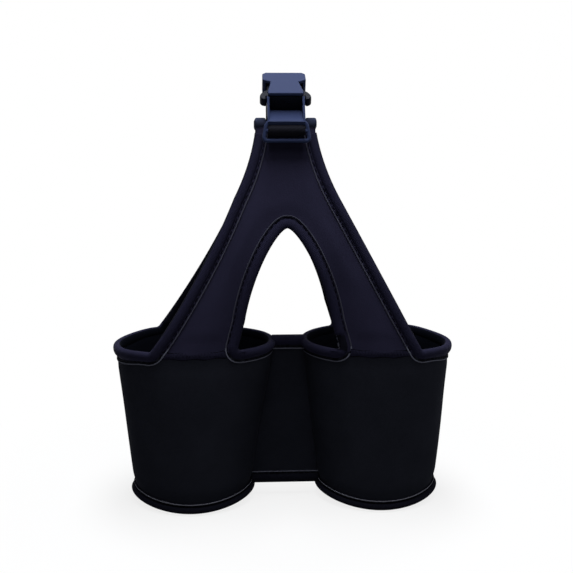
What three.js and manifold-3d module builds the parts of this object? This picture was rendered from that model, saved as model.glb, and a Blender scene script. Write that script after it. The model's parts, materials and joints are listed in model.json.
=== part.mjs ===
// Two-cup drink carrier: a pair of tapered neoprene sleeves joined by a centre web, with a front and a
// rear A-shaped handle panel that meet over the top in a side-release buckle on woven webbing.
// Millimetres, +Z up, +X to the right seen from the front, the front faces -Y.
// The origin is the middle of the base, on the surface that the carrier stands on.
import * as THREE from 'three';
import { mergeVertices } from 'three/addons/utils/BufferGeometryUtils.js';
import Module from 'manifold-3d';

const wasm = await Module();
wasm.setup();

// Cloth, tape and clearances
const neoprene = 3;
const tape = 1.1;
const tapeWidth = 5.8;
const sewnGap = 0.3;
const tapeGap = 0.5;
const foldFlat = 0.6;

// Cup sleeves and bases
const cupAxis = 53;
const rimRadius = 42.9;
const footRadius = 32.8;
const cupHeight = 91;
const hemHeight = 5.4;
const hemTape = 1.6;
const hemBulge = 0.5;
const hemLift = 4;
const hemOffFloor = 0.4;
const baseFlatRadius = 24;
const baseHubRadius = 0.3;

// Centre web between the cups
const webThickness = 6;
const webFlare = 2.5;
const webFlarePower = 6;
const webTopRise = 1.3;
const webBottom = 8.5;

// Handle panels
const legOuterReach = 17.8;
const legInnerReach = 23.4;
const shoulderHalfWidth = 27.2;
const shoulderRise = 82;
const headHalfWidth = 14.9;
const headCurveDrop = 20;
const headCurveHalfWidth = 17;
const archApexRise = 67.7;
const archApexWidth = 5.5;
const archWaistHalfWidth = 19.4;
const archWaistRise = 46;
const archSpringHalfWidth = 24.4;
const archSpringRise = 17.6;
const bendShare = 0.5;
const bendEase = 5.6;
const frontRollReach = 8.5;
const rearRollReach = 7;
const frontRollRise = 121.8;
const rearRollRise = 121.2;
const rollRadius = 2.7;
const rollHalfLength = 16.9;
const coreRadius = 1.5;
const windowSlack = 2;
const outerCornerLength = 6;
const innerCornerLength = 6.5;
const headMiddleShare = 0.2;
const rowCrowding = 1.4;
const headSamples = 60;

// Webbing
const webbingWidth = 20;
const webbing = 1.2;
const webbingSideGap = 0.5;

// Side-release buckle, sizes along its own sloping axis
const buckleSlope = 26;
const mouthSetback = 2.9;
const mouthRise = 8.6;
const femaleLength = 25;
const femaleThickness = 9.8;
const shellWall = 1.8;
const mouthHalfWidth = 9.7;
const neckHalfWidth = 7.7;
const earHalfWidth = 12;
const notchStart = 12.8;
const notchEnd = 15.4;
const lipOverhang = 2.4;
const prongBay = 13.2;
const ribHalfWidth = 3.5;
const windowHalfWidth = 10.2;
const blockEnd = 16.3;
const rearBarAlong = 22.5;
const rearBarUp = 0.8;
const rearBarRadius = 1.5;
const collarDepth = 2.3;
const plateThickness = 1.9;
const plateLength = 13.4;
const plateHalfWidth = 10.2;
const gussetWidth = 1.2;
const tongueLength = 11;
const tongueHalfWidth = 2.6;
const tongueThickness = 2.6;
const prongThickness = 4.5;
const prongRootX = 7.6;
const prongRootWidth = 2.6;
const prongBulgeX = 14;
const prongTipX = 8.2;
const prongLength = 15.6;
const padReach = 4.5;
const padEnd = 5;
const padRound = 4;
const barbRise = 3.5;
const frameSlope = 80;
const frameHalfWidth = 13.2;
const frameSide = 2.7;
const frameDrop = 9.6;
const frameCorner = 2.4;
const endBar = 2.5;
const crossBarDrop = 5;
const crossBarRadius = 1.2;

// Worked-out places
const midRadius = (z) => footRadius + (rimRadius - footRadius) * (z / cupHeight) - neoprene / 2;
const rimMid = midRadius(cupHeight);
const seamZ = cupHeight + sewnGap;
const webTop = cupHeight + webTopRise;
const bendLimit = legInnerReach + bendEase;
const windowDrop = coreRadius + sewnGap + webbing + windowSlack;
const flange = neoprene / 2 + tapeGap;
const front = { facing: -1, rollReach: frontRollReach, rollZ: cupHeight + frontRollRise };
const rear = { facing: 1, rollReach: rearRollReach, rollZ: cupHeight + rearRollRise };
const mouthReach = frontRollReach - mouthSetback;
const mouthHeight = front.rollZ + mouthRise;

// Materials
const cloth = (name, color, roughness) =>
  new THREE.MeshStandardMaterial({ name, color, roughness, metalness: 0 });
const sleeveCloth = cloth('sleeve_neoprene', 0x0d0f12, 0.92);
const panelCloth = cloth('panel_neoprene', 0x161521, 0.88);
const tapeCloth = cloth('binding_tape', 0x12131c, 0.85);
const webbingCloth = cloth('webbing', 0x101116, 0.8);
const bucklePlastic = cloth('buckle_plastic', 0x1b1d24, 0.42);

const carrier = new THREE.Group();

function addPart(parent, name, geometry, material) {
  const mesh = new THREE.Mesh(geometry, material.clone());
  mesh.name = name;
  parent.add(mesh);
  return mesh;
}

// A closed mesh as a solid for joining and cutting, and back again
function toSolid(geometry) {
  const bare = geometry.clone();
  bare.deleteAttribute('normal');
  bare.deleteAttribute('uv');
  const merged = mergeVertices(bare, 1e-4);
  const vertProperties = new Float32Array(merged.attributes.position.array);
  const triVerts = new Uint32Array(merged.index.array);
  return new wasm.Manifold(new wasm.Mesh({ numProp: 3, vertProperties, triVerts }));
}

function toGeometry(solid) {
  const mesh = solid.getMesh();
  const geometry = new THREE.BufferGeometry();
  geometry.setAttribute('position', new THREE.BufferAttribute(new Float32Array(mesh.vertProperties), 3));
  geometry.setIndex(new THREE.BufferAttribute(new Uint32Array(mesh.triVerts), 1));
  geometry.computeVertexNormals();
  return geometry;
}

function box(low, high) {
  const size = high.map((value, axis) => value - low[axis]);
  const geometry = new THREE.BoxGeometry(...size);
  geometry.translate(...low.map((value, axis) => value + size[axis] / 2));
  return toSolid(geometry);
}

function rod(halfLength, radius, y, z, sides = 20) {
  const geometry = new THREE.CylinderGeometry(radius, radius, 2 * halfLength, sides);
  geometry.rotateZ(Math.PI / 2);
  geometry.translate(0, y, z);
  return toSolid(geometry);
}

// A skin over matching section loops. The first half of a loop is one side and the second half the other,
// run backwards, so each end closes as a strip between them.
function loft(loops, closed = false) {
  const count = loops[0].length;
  const position = loops.flat().flatMap((point) => [point.x, point.y, point.z]);
  const index = [];
  const quad = (a, b, c, d) => index.push(a, b, c, a, c, d);
  const spans = closed ? loops.length : loops.length - 1;
  for (let k = 0; k < spans; k++) {
    const here = k * count;
    const next = ((k + 1) % loops.length) * count;
    for (let i = 0; i < count; i++) {
      const j = (i + 1) % count;
      quad(here + i, here + j, next + j, next + i);
    }
  }
  if (!closed) {
    const last = (loops.length - 1) * count;
    for (let i = 0; i < count / 2 - 1; i++) {
      const across = count - 1 - i;
      quad(i, across, across - 1, i + 1);
      quad(last + i, last + i + 1, last + across - 1, last + across);
    }
  }
  const geometry = new THREE.BufferGeometry();
  geometry.setAttribute('position', new THREE.Float32BufferAttribute(position, 3));
  geometry.setIndex(index);
  if (signedVolume(geometry) < 0) geometry.setIndex(index.reverse());
  geometry.computeVertexNormals();
  return geometry;
}

function signedVolume(geometry) {
  const corner = [new THREE.Vector3(), new THREE.Vector3(), new THREE.Vector3()];
  const { index, attributes } = geometry;
  let total = 0;
  for (let i = 0; i < index.count; i += 3) {
    corner.forEach((point, k) => point.fromBufferAttribute(attributes.position, index.getX(i + k)));
    total += corner[0].dot(corner[1].clone().cross(corner[2])) / 6;
  }
  return total;
}

// Distance from a cup's axis, levelling off past the leg so that the panel flattens between the legs
function easedReach(distance) {
  const over = THREE.MathUtils.clamp(Math.abs(distance) - bendLimit + bendEase, 0, 2 * bendEase);
  const reach = Math.min(Math.abs(distance), bendLimit + bendEase) - over ** 2 / (4 * bendEase);
  return Math.sign(distance) * reach;
}

// The cloth surface of one side of the carrier. Below the rim it is a cup's wall, and above it a handle
// panel that starts on the rim's curve and flattens as it leans in to the roll. offset is outwards from
// mid cloth.
function clothPoint(panel, x, z, offset) {
  const distance = Math.abs(x) - cupAxis;
  const across = z < seamZ ? distance : easedReach(distance);
  const rise = Math.max(0, (z - seamZ) / (panel.rollZ - seamZ));
  const fade = Math.max(0, 1 - rise / bendShare) ** 2;
  const radius = z < seamZ ? midRadius(z) : rimMid;
  const turn = Math.asin(across / rimMid) * fade;
  const sag = (rimMid - Math.sqrt(rimMid ** 2 - across ** 2)) * fade;
  const lean = radius + (panel.rollReach - radius) * rise;
  const out = lean - sag + offset / Math.cos(turn);
  return new THREE.Vector3(x, panel.facing * out, z);
}

function rimPoint(panel, side, angle, z, offset) {
  const radius = midRadius(z) + offset;
  const x = side * (cupAxis + radius * Math.sin(angle));
  return new THREE.Vector3(x, panel.facing * radius * Math.cos(angle), z);
}

// Outlines of a handle panel on its right half, in x and height
function legOutline(panel) {
  const foot = new THREE.Vector2(cupAxis + legOuterReach, seamZ);
  const shoulder = new THREE.Vector2(shoulderHalfWidth, cupHeight + shoulderRise);
  const bend = new THREE.Vector2(headCurveHalfWidth, panel.rollZ - headCurveDrop);
  const head = new THREE.Vector2(headHalfWidth, panel.rollZ);
  return {
    foot,
    straight: new THREE.LineCurve(foot, shoulder),
    head: new THREE.QuadraticBezierCurve(shoulder, bend, head),
  };
}

function archOutline() {
  const apex = new THREE.Vector2(0, cupHeight + archApexRise);
  const nearApex = new THREE.Vector2(archApexWidth, cupHeight + archApexRise);
  const waist = new THREE.Vector2(archWaistHalfWidth, cupHeight + archWaistRise);
  const spring = new THREE.Vector2(archSpringHalfWidth, cupHeight + archSpringRise);
  const foot = new THREE.Vector2(cupAxis - legInnerReach, seamZ);
  return {
    foot,
    curve: new THREE.CubicBezierCurve(apex, nearApex, waist, spring),
    straight: new THREE.LineCurve(spring, foot),
  };
}

function archHalfWidth(z) {
  const arch = archOutline();
  const points = [...arch.curve.getPoints(40), arch.foot];
  const next = points.findIndex((point) => point.y < z);
  if (next < 1) return next < 0 ? arch.foot.x : 0;
  const [above, under] = [points[next - 1], points[next]];
  return above.x + ((under.x - above.x) * (above.y - z)) / (above.y - under.y);
}

// Cup sleeves: tapered tubes, a little shorter at the sides where the hem lifts
const hemBottom = (angle) => hemOffFloor + hemLift * Math.sin(angle) ** 2;

function around(count, section) {
  const loops = [];
  for (let k = 0; k < count; k++) {
    const angle = (2 * Math.PI * k) / count;
    const place = (radius, z) => new THREE.Vector3(radius * Math.sin(angle), -radius * Math.cos(angle), z);
    loops.push(section(angle).map(([radius, z]) => place(radius, z)));
  }
  return loft(loops, true);
}

function sleeveGeometry() {
  const half = neoprene / 2;
  return around(48, (angle) => {
    const bottom = hemBottom(angle) + hemTape + sewnGap;
    return [
      [midRadius(bottom) + half, bottom],
      [rimMid + half, cupHeight],
      [rimMid - half, cupHeight],
      [midRadius(bottom) - half, bottom],
    ];
  });
}

function hemGeometry() {
  return around(40, (angle) => {
    const low = hemBottom(angle);
    const high = low + hemHeight;
    const skin = (z) => midRadius(z) + neoprene / 2 + sewnGap;
    return [
      [midRadius(low) - neoprene / 2, low],
      [skin(low) + hemTape, low],
      [skin(low) + hemTape + hemBulge, low + hemHeight / 2],
      [skin(high) + hemTape, high],
      [skin(high), high],
      [skin(low + hemTape), low + hemTape],
      [midRadius(low) - neoprene / 2, low + hemTape],
    ];
  });
}

function baseGeometry() {
  const edge = footRadius - neoprene - 2 * sewnGap;
  const rimLift = (angle) => hemLift * Math.sin(angle) ** 2;
  const hub = baseHubRadius;
  const pin = new THREE.CylinderGeometry(2 * hub, 2 * hub, neoprene, 24);
  pin.rotateX(Math.PI / 2);
  pin.translate(0, 0, neoprene / 2);
  const disc = around(32, (angle) => [
    [hub, 0],
    [baseFlatRadius, 0],
    [edge, rimLift(angle)],
    [edge, rimLift(angle) + neoprene],
    [baseFlatRadius, neoprene],
    [hub, neoprene],
  ]);
  return toGeometry(toSolid(disc).add(toSolid(pin)));
}

// Centre web: a flat double layer that flares where it meets each cup, clear of the hem and rim tapes
function webGeometry() {
  const rimTape = tapeGap + tape + sewnGap;
  const hemTop = Math.max(hemOffFloor + hemLift + hemHeight, webBottom + tapeWidth) + sewnGap;
  const rimTapeLow = Math.min(cupHeight, webTop) - tapeWidth - sewnGap;
  const levels = [
    [webBottom, sewnGap + hemTape + hemBulge + sewnGap],
    [hemTop, sewnGap + hemTape + hemBulge + sewnGap],
    [hemTop + sewnGap, sewnGap],
    [(hemTop + rimTapeLow) / 2, sewnGap],
    [rimTapeLow - sewnGap, sewnGap],
    [rimTapeLow, rimTape],
    [webTop, rimTape],
  ];
  const stations = 9;
  return loft(levels.map(([z, gap]) => {
    const reach = midRadius(Math.min(z, cupHeight)) + neoprene / 2 + gap;
    const halfLength = cupAxis - reach;
    const flared = z > hemTop && z < rimTapeLow ? webFlare : 0;
    const side = (sign) => Array.from({ length: stations }, (_, i) => {
      const share = (2 * i) / (stations - 1) - 1;
      const y = sign * (webThickness / 2 + flared * share ** webFlarePower);
      return new THREE.Vector3(share * halfLength, y, z);
    });
    return [...side(-1), ...side(1).reverse()];
  }));
}

function webTapeGeometry(edgeZ, inward) {
  const inner = webThickness / 2 + tapeGap;
  const outer = inner + tape;
  const rimTape = tapeGap + tape + sewnGap;
  const wider = inward < 0 ? rimTape : sewnGap + hemTape + hemBulge + sewnGap;
  const level = Math.min(edgeZ, cupHeight);
  const reach = midRadius(inward < 0 ? level : 0) + neoprene / 2 + wider + sewnGap;
  const farthest = inward < 0 ? reach : midRadius(tapeWidth) + neoprene / 2 + wider + sewnGap;
  const halfLength = cupAxis - Math.max(reach, farthest);
  const section = [
    [outer, tapeWidth], [outer, 0], [outer * foldFlat, -tapeGap - tape],
    [-outer * foldFlat, -tapeGap - tape], [-outer, 0], [-outer, tapeWidth],
    [-inner, tapeWidth], [-inner, 0], [-inner * foldFlat, -tapeGap],
    [inner * foldFlat, -tapeGap], [inner, 0], [inner, tapeWidth],
  ];
  const loopAt = (x) => section.map(([y, depth]) => new THREE.Vector3(x, y, edgeZ + inward * depth));
  return loft([loopAt(-halfLength), loopAt(halfLength)]);
}

// Handle panel: one skin over its full outline, cut by the arch, with a roll along the top that thins to a
// core where the webbing loops round it
function panelGeometry(panel) {
  const outline = legOutline(panel);
  const straightRows = steps(11).map((share) => outline.straight.getPoint(share ** rowCrowding));
  const rows = [...straightRows, ...outline.head.getPoints(5).slice(1)];
  const columns = steps(12);
  const lean = Math.atan((rimMid - panel.rollReach) / (panel.rollZ - seamZ));
  const half = neoprene / 2 / Math.cos(lean);
  const skin = loft(rows.map((row) => {
    const inside = Math.max(archHalfWidth(row.y) - neoprene, row.x * headMiddleShare);
    const right = [inside / 2, ...columns.map((share) => inside + (row.x - inside) * share)];
    const across = [...right.map((x) => -x).reverse(), 0, ...right];
    const face = (offset) => across.map((x) => clothPoint(panel, x, row.y, offset));
    return [...face(half), ...face(-half).reverse()];
  }));
  const arch = archOutline();
  const below = arch.straight.getPoint(1).add(arch.straight.getTangent(1).multiplyScalar(neoprene));
  const shape = new THREE.Shape();
  shape.moveTo(-below.x, below.y);
  shape.lineTo(-archSpringHalfWidth, cupHeight + archSpringRise);
  const archPoints = arch.curve.getPoints(16);
  archPoints.slice(0, -1).reverse().forEach((point) => shape.lineTo(-point.x, point.y));
  archPoints.slice(1).forEach((point) => shape.lineTo(point.x, point.y));
  shape.lineTo(below.x, below.y);
  const through = 2 * rimRadius;
  const cutter = new THREE.ExtrudeGeometry(shape, { depth: 2 * through, bevelEnabled: false });
  cutter.rotateX(Math.PI / 2).translate(0, through, 0);
  const y = panel.facing * panel.rollReach;
  const slot = webbingWidth / 2 + webbingSideGap;
  const opening = box(
    [-slot, y - through, panel.rollZ - windowDrop],
    [slot, y + through, panel.rollZ + rollRadius + windowDrop],
  );
  return toGeometry(toSolid(skin)
    .subtract(toSolid(cutter))
    .add(rod(rollHalfLength, rollRadius, y, panel.rollZ))
    .subtract(opening)
    .add(rod(slot + rollRadius, coreRadius, y, panel.rollZ)));
}

// Binding tape: a U-shaped channel folded over a cloth edge. Each station gives a point of the surface at
// a depth inwards from the edge and an offset from mid cloth.
function bindingGeometry(stations) {
  const outer = flange + tape;
  const halfWay = tapeWidth / 2;
  const section = [
    [tapeWidth, outer], [halfWay, outer], [0, outer], [-tapeGap - tape, outer * foldFlat],
    [-tapeGap - tape, -outer * foldFlat], [0, -outer], [halfWay, -outer], [tapeWidth, -outer],
    [tapeWidth, -flange], [halfWay, -flange], [0, -flange], [-tapeGap, -flange * foldFlat],
    [-tapeGap, flange * foldFlat], [0, flange], [halfWay, flange], [tapeWidth, flange],
  ];
  return loft(stations.map((station) => section.map(([depth, offset]) => station(depth, offset))));
}

// Stations along an edge curve in x and height, inward to the given hand of its direction
function edgeStations(panel, side, curve, shares, hand) {
  return shares.map((share) => {
    const point = curve.getPoint(share);
    const along = curve.getTangent(share);
    const inward = new THREE.Vector2(-along.y, along.x).multiplyScalar(hand);
    return (depth, offset) => {
      const x = side * (point.x + inward.x * depth);
      return clothPoint(panel, x, point.y + inward.y * depth, offset);
    };
  });
}

function rimStations(panel, side, from, to, count) {
  return Array.from({ length: count + 1 }, (_, i) => {
    const angle = from + ((to - from) * i) / count;
    return (depth, offset) => rimPoint(panel, side, angle, cupHeight - depth, offset);
  });
}

function steps(count, from = 0, to = 1) {
  return Array.from({ length: count + 1 }, (_, i) => from + ((to - from) * i) / count);
}

// Where the tape turns from a leg's edge on to the rim, and the rim angles where it does
function legCorner(foot, edge, atFoot, length, away) {
  const step = edge.getTangent(atFoot).multiplyScalar(atFoot ? -length : length);
  const start = edge.getPoint(atFoot).add(step);
  const corner = new THREE.Vector2(foot.x, cupHeight);
  const end = new THREE.Vector2(foot.x + away * length, cupHeight);
  return { start, end, curve: new THREE.QuadraticBezierCurve(start, corner, end) };
}

const rimAngle = (x) => Math.asin((x - cupAxis) / rimMid);
const tapeEndGap = (tapeGap + tape + sewnGap) / rimMid;
const headTapeTop = (panel) => panel.rollZ - windowDrop - sewnGap;

// Share of the head curve at which its tape stops under the roll
function headStop(panel, curve) {
  const rows = curve.getPoints(headSamples);
  return (rows.findIndex((row) => row.y > headTapeTop(panel)) - 1) / headSamples;
}

function outerBindingGeometry(panel, side, roundRim) {
  const outline = legOutline(panel);
  const corner = legCorner(outline.foot, outline.straight, 0, outerCornerLength, 1);
  const startShare = outerCornerLength / outline.straight.getLength();
  const headShare = headStop(panel, outline.head);
  const along = outline.straight.getTangent(0);
  const clearLength = (tapeWidth * -along.x + tapeGap + tape) / along.y;
  const lowShare = roundRim ? startShare : clearLength / outline.straight.getLength();
  const stations = [
    ...edgeStations(panel, side, outline.head, steps(5, headShare, 0), 1),
    ...edgeStations(panel, side, outline.straight, steps(7, 1, lowShare).slice(1), 1),
  ];
  if (roundRim) {
    const from = rimAngle(corner.end.x);
    const to = Math.PI - rimAngle(outline.foot.x) - tapeEndGap;
    stations.push(...edgeStations(panel, side, corner.curve, steps(4).slice(1, -1), -1));
    stations.push(...rimStations(panel, side, from, to, 10));
  }
  return bindingGeometry(stations);
}

function innerBindingGeometry(panel, roundRim) {
  const arch = archOutline();
  const corner = legCorner(arch.foot, arch.straight, 1, innerCornerLength, -1);
  const straightLength = arch.straight.getLength();
  const lowShare = 1 - (roundRim ? innerCornerLength : 2 * (tapeGap + tape)) / straightLength;
  const half = (side) => {
    const stations = [
      ...edgeStations(panel, side, arch.curve, steps(12).slice(1), 1),
      ...edgeStations(panel, side, arch.straight, steps(2, 0, lowShare).slice(1), 1),
    ];
    if (roundRim) {
      const from = rimAngle(corner.end.x);
      const to = -Math.PI - rimAngle(arch.foot.x) + tapeEndGap;
      stations.push(...edgeStations(panel, side, corner.curve, steps(6).slice(1, -1), 1));
      stations.push(...rimStations(panel, side, from, to, 9));
    }
    return stations;
  };
  const apex = edgeStations(panel, 1, arch.curve, [0], 1);
  return bindingGeometry([...half(-1).reverse(), ...apex, ...half(1)]);
}

// Webbing loop round two parallel bars, drawn as a band of even thickness
function webbingGeometry(lower, lowerRadius, upper, upperRadius) {
  const away = new THREE.Vector2().subVectors(upper, lower).normalize();
  const heading = Math.atan2(away.y, away.x);
  const band = (extra) => {
    const points = [];
    const arc = (centre, radius, from) => steps(10).forEach((share) => {
      const angle = from + Math.PI * share;
      points.push([centre.x + radius * Math.cos(angle), centre.y + radius * Math.sin(angle)]);
    });
    arc(lower, lowerRadius + sewnGap + extra, heading + Math.PI / 2);
    arc(upper, upperRadius + sewnGap + extra, heading - Math.PI / 2);
    return points;
  };
  const inner = band(0);
  const outer = band(webbing);
  const half = webbingWidth / 2;
  return loft(inner.map((point, i) => [
    new THREE.Vector3(-half, ...outer[i]),
    new THREE.Vector3(half, ...outer[i]),
    new THREE.Vector3(half, ...point),
    new THREE.Vector3(-half, ...point),
  ]), true);
}

// Buckle: a group on the mouth's lower edge, its own Y along the release direction and Z out of its top face
const slope = THREE.MathUtils.degToRad(buckleSlope);
const buckle = new THREE.Group();
buckle.position.set(0, -mouthReach, mouthHeight);
buckle.rotation.x = slope;

const buckleToWorld = (along, up) => new THREE.Vector2(
  -mouthReach + along * Math.cos(slope) - up * Math.sin(slope),
  mouthHeight + along * Math.sin(slope) + up * Math.cos(slope),
);

function plate(points, low, high) {
  const shape = new THREE.Shape(points.map(([x, y]) => new THREE.Vector2(x, y)));
  const geometry = new THREE.ExtrudeGeometry(shape, { depth: high - low, bevelEnabled: false });
  geometry.translate(0, 0, low);
  return toSolid(geometry);
}

const mirrored = (points) => [...points, ...points.map(([x, y]) => [-x, y]).reverse()];

function femaleGeometry() {
  const top = femaleThickness - shellWall;
  const outline = (start) => mirrored([
    [mouthHalfWidth, start], [neckHalfWidth, notchStart], [earHalfWidth, notchEnd],
    [earHalfWidth, femaleLength - shellWall], [earHalfWidth - shellWall, femaleLength],
  ]);
  const slot = webbingWidth / 2 + webbingSideGap;
  const reach = 2 * earHalfWidth;
  const bar = rod(slot + shellWall / 2, rearBarRadius, rearBarAlong, rearBarUp);
  const windowBox = (low, high) => box([low, prongBay - shellWall, shellWall], [high, femaleLength, top]);
  return toGeometry(plate(outline(0), 0, femaleThickness)
    .add(plate(outline(-lipOverhang), top, femaleThickness))
    .subtract(box([-reach, -reach, shellWall], [reach, prongBay, top]))
    .subtract(windowBox(ribHalfWidth, windowHalfWidth))
    .subtract(windowBox(-windowHalfWidth, -ribHalfWidth))
    .subtract(box([-slot, blockEnd, -reach], [slot, reach + femaleLength, top]))
    .add(bar));
}

// The frame hangs from just inside the plate's front edge, at its own, steeper slope
const plateFront = -sewnGap - collarDepth - plateLength;
const frameTop = { along: plateFront + endBar / 2, up: -sewnGap - plateThickness / 2 };
const frameTilt = THREE.MathUtils.degToRad(frameSlope) - slope;
const framePlace = (drop) => ({
  along: frameTop.along - drop * Math.cos(frameTilt),
  up: frameTop.up - drop * Math.sin(frameTilt),
});

function frameRing() {
  const half = frameHalfWidth;
  const low = -frameDrop - endBar / 2;
  const high = plateThickness / 2;
  const corner = frameCorner;
  const shape = new THREE.Shape();
  shape.moveTo(-half, high);
  shape.lineTo(-half, low + corner);
  shape.quadraticCurveTo(-half, low, -half + corner, low);
  shape.lineTo(half - corner, low);
  shape.quadraticCurveTo(half, low, half, low + corner);
  shape.lineTo(half, high);
  const hole = new THREE.Path();
  const inside = half - frameSide;
  hole.moveTo(-inside, -plateThickness / 2);
  hole.lineTo(-inside, -frameDrop + endBar / 2);
  hole.lineTo(inside, -frameDrop + endBar / 2);
  hole.lineTo(inside, -plateThickness / 2);
  shape.holes.push(hole);
  const ring = new THREE.ExtrudeGeometry(shape, { depth: endBar, bevelEnabled: false, curveSegments: 5 });
  ring.translate(0, 0, -endBar / 2);
  ring.rotateX(frameTilt);
  ring.translate(0, frameTop.along, frameTop.up);
  return toSolid(ring);
}

function maleGeometry() {
  const collarBack = -sewnGap;
  const collarFront = collarBack - collarDepth;
  const collarTop = femaleThickness - shellWall - sewnGap;
  const plateTop = -sewnGap;
  const plateLow = plateTop - plateThickness;
  const middle = femaleThickness / 2;
  const crossBar = framePlace(crossBarDrop);
  return toGeometry(box([-plateHalfWidth, collarFront, plateLow], [plateHalfWidth, collarBack, collarTop])
    .add(gusset(-1, collarFront + sewnGap, collarTop, plateTop))
    .add(gusset(1, collarFront + sewnGap, collarTop, plateTop))
    .add(box([-plateHalfWidth, plateFront, plateLow], [plateHalfWidth, collarFront + sewnGap, plateTop]))
    .add(box(
      [-tongueHalfWidth, collarFront, middle - tongueThickness / 2],
      [tongueHalfWidth, tongueLength, middle + tongueThickness / 2],
    ))
    .add(frameRing())
    .add(rod(frameHalfWidth - frameSide / 2, crossBarRadius, crossBar.along, crossBar.up)));
}

// Side walls of the male half, sloping from the collar's top down to the front of its plate
function gusset(side, collarFront, collarTop, plateTop) {
  const shape = new THREE.Shape([
    new THREE.Vector2(collarFront, plateTop - sewnGap),
    new THREE.Vector2(collarFront, collarTop),
    new THREE.Vector2(plateFront, plateTop),
    new THREE.Vector2(plateFront, plateTop - sewnGap),
  ]);
  const wall = new THREE.ExtrudeGeometry(shape, { depth: gussetWidth, bevelEnabled: false });
  wall.applyMatrix4(new THREE.Matrix4().set(0, 0, 1, 0, 1, 0, 0, 0, 0, 1, 0, 0, 0, 0, 0, 1));
  wall.translate(side > 0 ? plateHalfWidth - gussetWidth : -plateHalfWidth, 0, 0);
  return toSolid(wall);
}

// A sprung arm: root at the collar, a thumb pad beside the mouth, a barbed tip in the side window
function prongGeometry(side) {
  const inner = prongRootX - prongRootWidth / 2;
  const outerRoot = prongRootX + prongRootWidth / 2;
  const padInner = plateHalfWidth + sewnGap;
  const barb = prongBay - sewnGap;
  const shape = new THREE.Shape();
  shape.moveTo(inner, 0);
  shape.lineTo(padInner, 0);
  shape.lineTo(padInner, -padReach);
  shape.quadraticCurveTo(prongBulgeX, -padReach, prongBulgeX, padRound - padReach);
  shape.quadraticCurveTo(prongBulgeX, padEnd, outerRoot, padEnd + barbRise);
  shape.lineTo(outerRoot, barb - barbRise / 2);
  shape.lineTo(windowHalfWidth - sewnGap, barb);
  shape.lineTo(prongTipX, prongLength);
  shape.lineTo(inner, prongLength - sewnGap);
  const depth = prongThickness;
  const arm = new THREE.ExtrudeGeometry(shape, { depth, bevelEnabled: false, curveSegments: 8 });
  arm.translate(0, 0, (femaleThickness - prongThickness) / 2);
  const solid = toSolid(arm);
  return toGeometry(side > 0 ? solid : solid.mirror([1, 0, 0]));
}

// Assembly
for (const [side, hand] of [[-1, 'left'], [1, 'right']]) {
  const cup = new THREE.Group();
  cup.position.x = side * cupAxis;
  addPart(cup, `${hand}_cup_sleeve`, sleeveGeometry(), sleeveCloth);
  addPart(cup, `${hand}_cup_base`, baseGeometry(), sleeveCloth);
  addPart(cup, `${hand}_base_binding`, hemGeometry(), tapeCloth);
  carrier.add(cup);
}
addPart(carrier, 'center_web', webGeometry(), sleeveCloth);
addPart(carrier, 'web_top_binding', webTapeGeometry(webTop, -1), tapeCloth);
addPart(carrier, 'web_bottom_binding', webTapeGeometry(webBottom, 1), tapeCloth);

addPart(carrier, 'front_handle_panel', panelGeometry(front), panelCloth);
addPart(carrier, 'rear_handle_panel', panelGeometry(rear), panelCloth);
for (const [side, hand] of [[-1, 'left'], [1, 'right']]) {
  addPart(carrier, `${hand}_outer_binding`, outerBindingGeometry(front, side, true), tapeCloth);
  addPart(carrier, `${hand}_rear_binding`, outerBindingGeometry(rear, side, false), tapeCloth);
}
addPart(carrier, 'inner_binding', innerBindingGeometry(front, true), tapeCloth);
addPart(carrier, 'rear_arch_binding', innerBindingGeometry(rear, false), tapeCloth);

const crossBarPlace = framePlace(crossBarDrop);
const frontCore = new THREE.Vector2(-frontRollReach, front.rollZ);
const rearCore = new THREE.Vector2(rearRollReach, rear.rollZ);
const crossBarWorld = buckleToWorld(crossBarPlace.along, crossBarPlace.up);
const rearBarWorld = buckleToWorld(rearBarAlong, rearBarUp);
const frontLoop = webbingGeometry(crossBarWorld, crossBarRadius, frontCore, coreRadius);
const rearLoop = webbingGeometry(rearCore, coreRadius, rearBarWorld, rearBarRadius);
addPart(carrier, 'front_webbing_loop', frontLoop, webbingCloth);
addPart(carrier, 'rear_webbing_loop', rearLoop, webbingCloth);

addPart(buckle, 'male_buckle', maleGeometry(), bucklePlastic);
addPart(buckle, 'female_buckle', femaleGeometry(), bucklePlastic);
addPart(buckle, 'left_prong', prongGeometry(-1), bucklePlastic);
addPart(buckle, 'right_prong', prongGeometry(1), bucklePlastic);
carrier.add(buckle);

export default carrier;
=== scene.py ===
import json
import math
from functools import partial

import bmesh
import bpy
from mathutils import Matrix, Vector, kdtree, noise


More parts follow.
